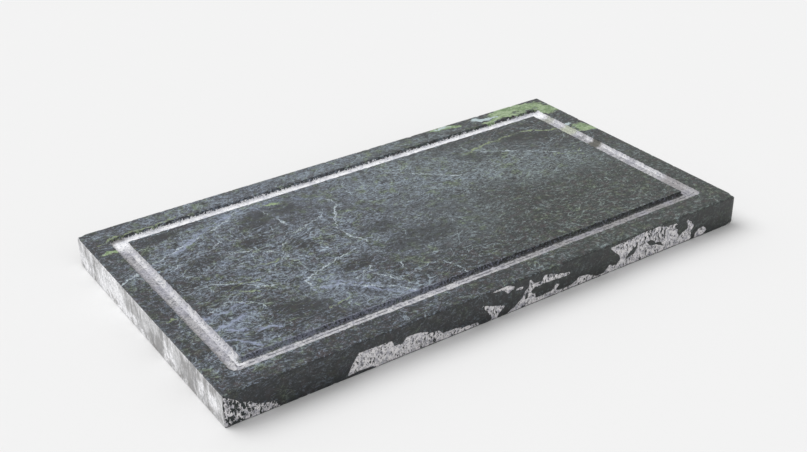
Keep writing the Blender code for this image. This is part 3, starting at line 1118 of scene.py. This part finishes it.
def ground_share(n, spot, facing, across, jag):
    """How far the groove's surface is ground to pale chalk, from 0 for sound dark stone to 1; walls that
    face the front are kept dark, partly as painted shade.
    """
    depth = n.minus(TOP, spot["Z"])
    within = n.times(n.below(n.size_of(across), 12 * MM), n.above(spot["Z"], TOP / 2))
    to_front = n.ramp(n.times(facing["Y"], -1.0), 0.30, 0.80)
    # The wall that faces the front is sound stone: kept dark along the front run, where the dark is
    # partly painted shade, and peppered at the back.
    front_half = n.ramp(spot["Y"], 0.02, -0.02)
    left_share = n.ramp(spot["X"], 0.06, -0.20)
    sound = n.times(to_front, n.ramp(spot["Y"], 0.0, 0.10, 3.5 * MM, 2.7 * MM))
    sound = n.minus(sound, n.times(left_share, 0.4 * MM))
    start = n.plus(0.45 * MM, sound)
    fuzz = n.plus(3.6 * MM, n.times(n.minus(1.0, front_half), 9.0 * MM))
    swing = n.plus(2.6 * MM, n.times(to_front, fuzz))
    edge = n.plus(n.minus(depth, start), n.times(jag, swing))
    ground = n.times(n.ramp(edge, -0.3 * MM, 0.5 * MM), n.ramp(depth, 0.05 * MM, 0.35 * MM))
    # Along the front run the fillet under that wall is kept dark too, as painted shade below the shaded
    # wall.
    strip = n.ramp(n.plus(across, n.times(jag, 6.0 * MM)), -4.4 * MM, -5.0 * MM)
    strip = n.times(strip, n.ramp(spot["Y"], *FRONT_RUN, 0.0, 0.9))
    return n.times(n.times(within, ground), n.minus(1.0, strip))


def add_groove(n, f, spot, facing, across, ground, shade):
    """The groove: sound walls darker than the face, partly as painted shade, peppered rims, and pale
    ground stone with painted light on the walls that face the left.
    """
    # Painted light: the walls that face the left are marked to be painted whiter.
    lit_wall = n.ramp(n.times(facing["X"], -1.0), 0.06, 0.45)
    # Painted shade: the top of the groove's walls is darkened to the sound stone's dark colour, most
    # along the front run and towards the right.
    cut = n.below(n.size_of(across), 8 * MM)
    cut = n.times(cut, n.ramp(spot["Z"], TOP - 0.2 * MM, TOP - 1.0 * MM))
    cut = n.times(cut, n.ramp(spot["Y"], 0.0, 0.10, 0.60, 0.10))
    cut = n.times(cut, n.ramp(spot["X"], -0.20, 0.05, 0.40, 1.0))
    shade = n.mix(cut, shade, SOUND_WALL_AND_SHADE)
    left_half = n.ramp(spot["X"], 0.10, -0.12)
    pepper = n.plus(f.speck, n.times(left_half, 0.10))
    near_rim = n.ramp(n.size_of(n.plus(across, 7.2 * MM)), 2.2 * MM, 0.6 * MM)
    near_rim = n.times(near_rim, n.ramp(spot["Y"], -0.08, -0.10))
    pepper = n.times(n.ramp(pepper, 0.52, 0.66, 0.0, 0.75), near_rim)
    shade = n.mix(pepper, shade, RIM_PEPPER)
    return n.mix(ground, shade, ground_chalk(n, f, spot, lit_wall, across))


def broken_share(n, spot, on_edge, jag):
    """Where the long edges are broken stone, from 0 to 1."""
    reach = n.plus(n.attribute("broken"), n.times(jag, 3.2 * MM))
    patch = n.times(on_edge, n.ramp(reach, -0.80 * MM, -0.30 * MM))
    # The patches stop short of both arrises, which leaves a thin dark line along the base.
    patch = n.times(patch, n.ramp(spot["Z"], TOP - 0.2 * MM, TOP - 1.2 * MM))
    return n.times(patch, n.ramp(spot["Z"], 0.3 * MM, 1.1 * MM))


def stone_material(finish):
    """One stone, with its honed, ground, broken and sawn surfaces told apart by place."""
    material = bpy.data.materials.new("green_stone")
    material.use_nodes = True
    tree = material.node_tree
    n = Nodes(tree)
    shader = tree.nodes["Principled BSDF"]
    coordinates = tree.nodes.new("ShaderNodeTexCoord")
    place = coordinates.outputs["Object"]
    facing = n.split(coordinates.outputs["Normal"])
    spot = n.split(place)

    f = stone_fields(n, place)
    shade = honed_stone(n, finish, f)
    jag = n.minus(n.noise(place, 0.0030, detail=5.0, roughness=0.75), 0.5)
    across = n.attribute("across")
    ground = ground_share(n, spot, facing, across, jag)
    shade = add_groove(n, f, spot, facing, across, ground, shade)

    on_edge = n.above(n.size_of(spot["Y"]), HALF[1] - 4 * MM)
    broken = broken_share(n, spot, on_edge, jag)
    # Painted shade: the sound stretches of the long edges are darkened below the top.
    sides = n.times(on_edge, n.ramp(n.size_of(facing["Z"]), 0.7, 0.3))
    edge_shade = n.ramp(spot["X"], -0.20, 0.05, 0.56, 0.62)
    shade = n.mix(n.times(sides, edge_shade), shade, EDGE_SHADE)
    shade = n.mix(broken, shade, broken_chalk(n, f, spot))

    end = n.ramp(n.plus(n.size_of(facing["X"]), n.times(jag, 0.5)), 0.55, 0.75)
    end = n.times(end, n.above(n.size_of(spot["X"]), HALF[0] - 3 * MM))
    shade = n.mix(end, shade, sawn_chalk(n, f, spot))
    # The underside is sawn and unpolished, so the pattern shows through a grey film.
    below = n.below(facing["Z"], -0.6)
    shade = n.mix(n.times(below, 0.45), shade, UNDERSIDE_FILM)
    n.put(shader.inputs["Base Color"], shade)

    raw = n.larger(ground, n.larger(broken, n.larger(end, below)))
    honed = n.ramp(f.grain, 0.40, 0.60, finish.polish - 0.05, finish.polish + 0.09)
    n.put(shader.inputs["Roughness"], n.clamp(n.plus(honed, n.times(raw, 0.45))))
    shader.inputs["Specular IOR Level"].default_value = 0.42
    shader.inputs["IOR"].default_value = 1.53

    fine = n.noise(place, 0.0016, detail=4.0, roughness=0.72)
    strength = n.plus(0.10, n.times(raw, 0.6))
    bump = n.add("ShaderNodeBump", Height=fine, Strength=strength, Distance=0.45 * MM)
    n.put(shader.inputs["Normal"], bump.outputs[0])
    return material


# ---------------------------------------------------------------- operators

# Edges sharper than this are shaded with a crease.
CREASE_ANGLE = math.radians(38)
# The floor reaches this far to each side. The key light shines this way, spread over this angle.
FLOOR_REACH = 12.0
KEY_DIRECTION = (0.38, -0.55, -1.0)
KEY_SPREAD = math.radians(45)
WHITE = (1.0, 1.0, 1.0, 1.0)


def link_mesh(name, bm):
    mesh = bpy.data.meshes.new(name)
    bm.to_mesh(mesh)
    bm.free()
    piece = bpy.data.objects.new(name, mesh)
    bpy.context.scene.collection.objects.link(piece)
    return piece


class STONESLAB_OT_slab(bpy.types.Operator):
    """Build the slab: groove, worn corners, chips, broken patches and its stone"""

    bl_idname = "stoneslab.slab"
    bl_label = "Stone slab"

    def execute(self, context):
        piece = link_mesh("grooved_slab", slab_mesh(context.scene.slab_sizes))
        piece.data.shade_smooth()
        piece.data.set_sharp_from_angle(angle=CREASE_ANGLE)
        piece.data.materials.append(stone_material(context.scene.stone_finish))
        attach(piece, "root")
        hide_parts(NODE)
        return {"FINISHED"}


class STONESLAB_OT_stage(bpy.types.Operator):
    """Lay the pale floor and set the soft light and the camera"""

    bl_idname = "stoneslab.stage"
    bl_label = "Floor, light and camera"

    def execute(self, context):
        stage = context.scene.slab_stage
        floor = self.lay_floor(stage)
        self.light(context.scene, stage)
        self.set_camera(context.scene, stage)
        return {"FINISHED"}

    def lay_floor(self, stage):
        bm = bmesh.new()
        bmesh.ops.create_grid(bm, x_segments=1, y_segments=1, size=FLOOR_REACH)
        floor = link_mesh("studio_floor", bm)
        material = bpy.data.materials.new("matt_floor")
        material.use_nodes = True
        shader = material.node_tree.nodes["Principled BSDF"]
        shader.inputs["Base Color"].default_value = stage.floor_colour
        shader.inputs["Roughness"].default_value = 1.0
        shader.inputs["Specular IOR Level"].default_value = 0.0
        floor.data.materials.append(material)
        return floor

    def light(self, scene, stage):
        world = bpy.data.worlds.new("soft_studio")
        world.use_nodes = True
        background = world.node_tree.nodes["Background"]
        background.inputs["Color"].default_value = WHITE
        background.inputs["Strength"].default_value = stage.sky
        scene.world = world
        scene.view_settings.view_transform = "Standard"

        data = bpy.data.lights.new("key_light", "SUN")
        data.energy = stage.key
        data.angle = KEY_SPREAD
        lamp = bpy.data.objects.new("key_light", data)
        scene.collection.objects.link(lamp)
        lamp.rotation_mode = "QUATERNION"
        lamp.rotation_quaternion = Vector(KEY_DIRECTION).to_track_quat("-Z", "Y")

    def set_camera(self, scene, stage):
        data = bpy.data.cameras.new("view_camera")
        data.lens = stage.lens
        camera = bpy.data.objects.new("view_camera", data)
        scene.collection.objects.link(camera)
        place = Vector(stage.camera_place)
        look = (Vector(stage.camera_aim) - place).to_track_quat("-Z", "Y").to_matrix()
        lean = Matrix.Rotation(-stage.camera_roll, 3, "Z")
        camera.matrix_world = Matrix.Translation(place) @ (look @ lean).to_4x4()
        scene.camera = camera


class STONESLAB_PT_panel(bpy.types.Panel):
    """Lists the slab's sizes, its finish and its stage"""

    bl_label = "Stone Slab"
    bl_idname = "STONESLAB_PT_panel"
    bl_space_type = "VIEW_3D"
    bl_region_type = "UI"
    bl_category = "Stone Slab"

    def draw(self, context):
        scene = context.scene
        for settings, operator in (
            (scene.slab_sizes, STONESLAB_OT_slab),
            (scene.stone_finish, STONESLAB_OT_slab),
            (scene.slab_stage, STONESLAB_OT_stage),
        ):
            box = self.layout.box()
            for name in settings.bl_rna.properties.keys():
                if name not in ("rna_type", "name"):
                    box.prop(settings, name)
            box.operator(operator.bl_idname)


CLASSES = (
    SlabSizes, StoneFinish, StageSettings, STONESLAB_OT_slab, STONESLAB_OT_stage,
    STONESLAB_PT_panel,
)


def register():
    for cls in CLASSES:
        bpy.utils.register_class(cls)
    bpy.types.Scene.slab_sizes = PointerProperty(type=SlabSizes)
    bpy.types.Scene.stone_finish = PointerProperty(type=StoneFinish)
    bpy.types.Scene.slab_stage = PointerProperty(type=StageSettings)


def unregister():
    del bpy.types.Scene.slab_stage
    del bpy.types.Scene.stone_finish
    del bpy.types.Scene.slab_sizes
    for cls in reversed(CLASSES):
        bpy.utils.unregister_class(cls)


def main():
    register()
    bpy.ops.stoneslab.slab()
    bpy.ops.stoneslab.stage()


if __name__ == "__main__":
    main()
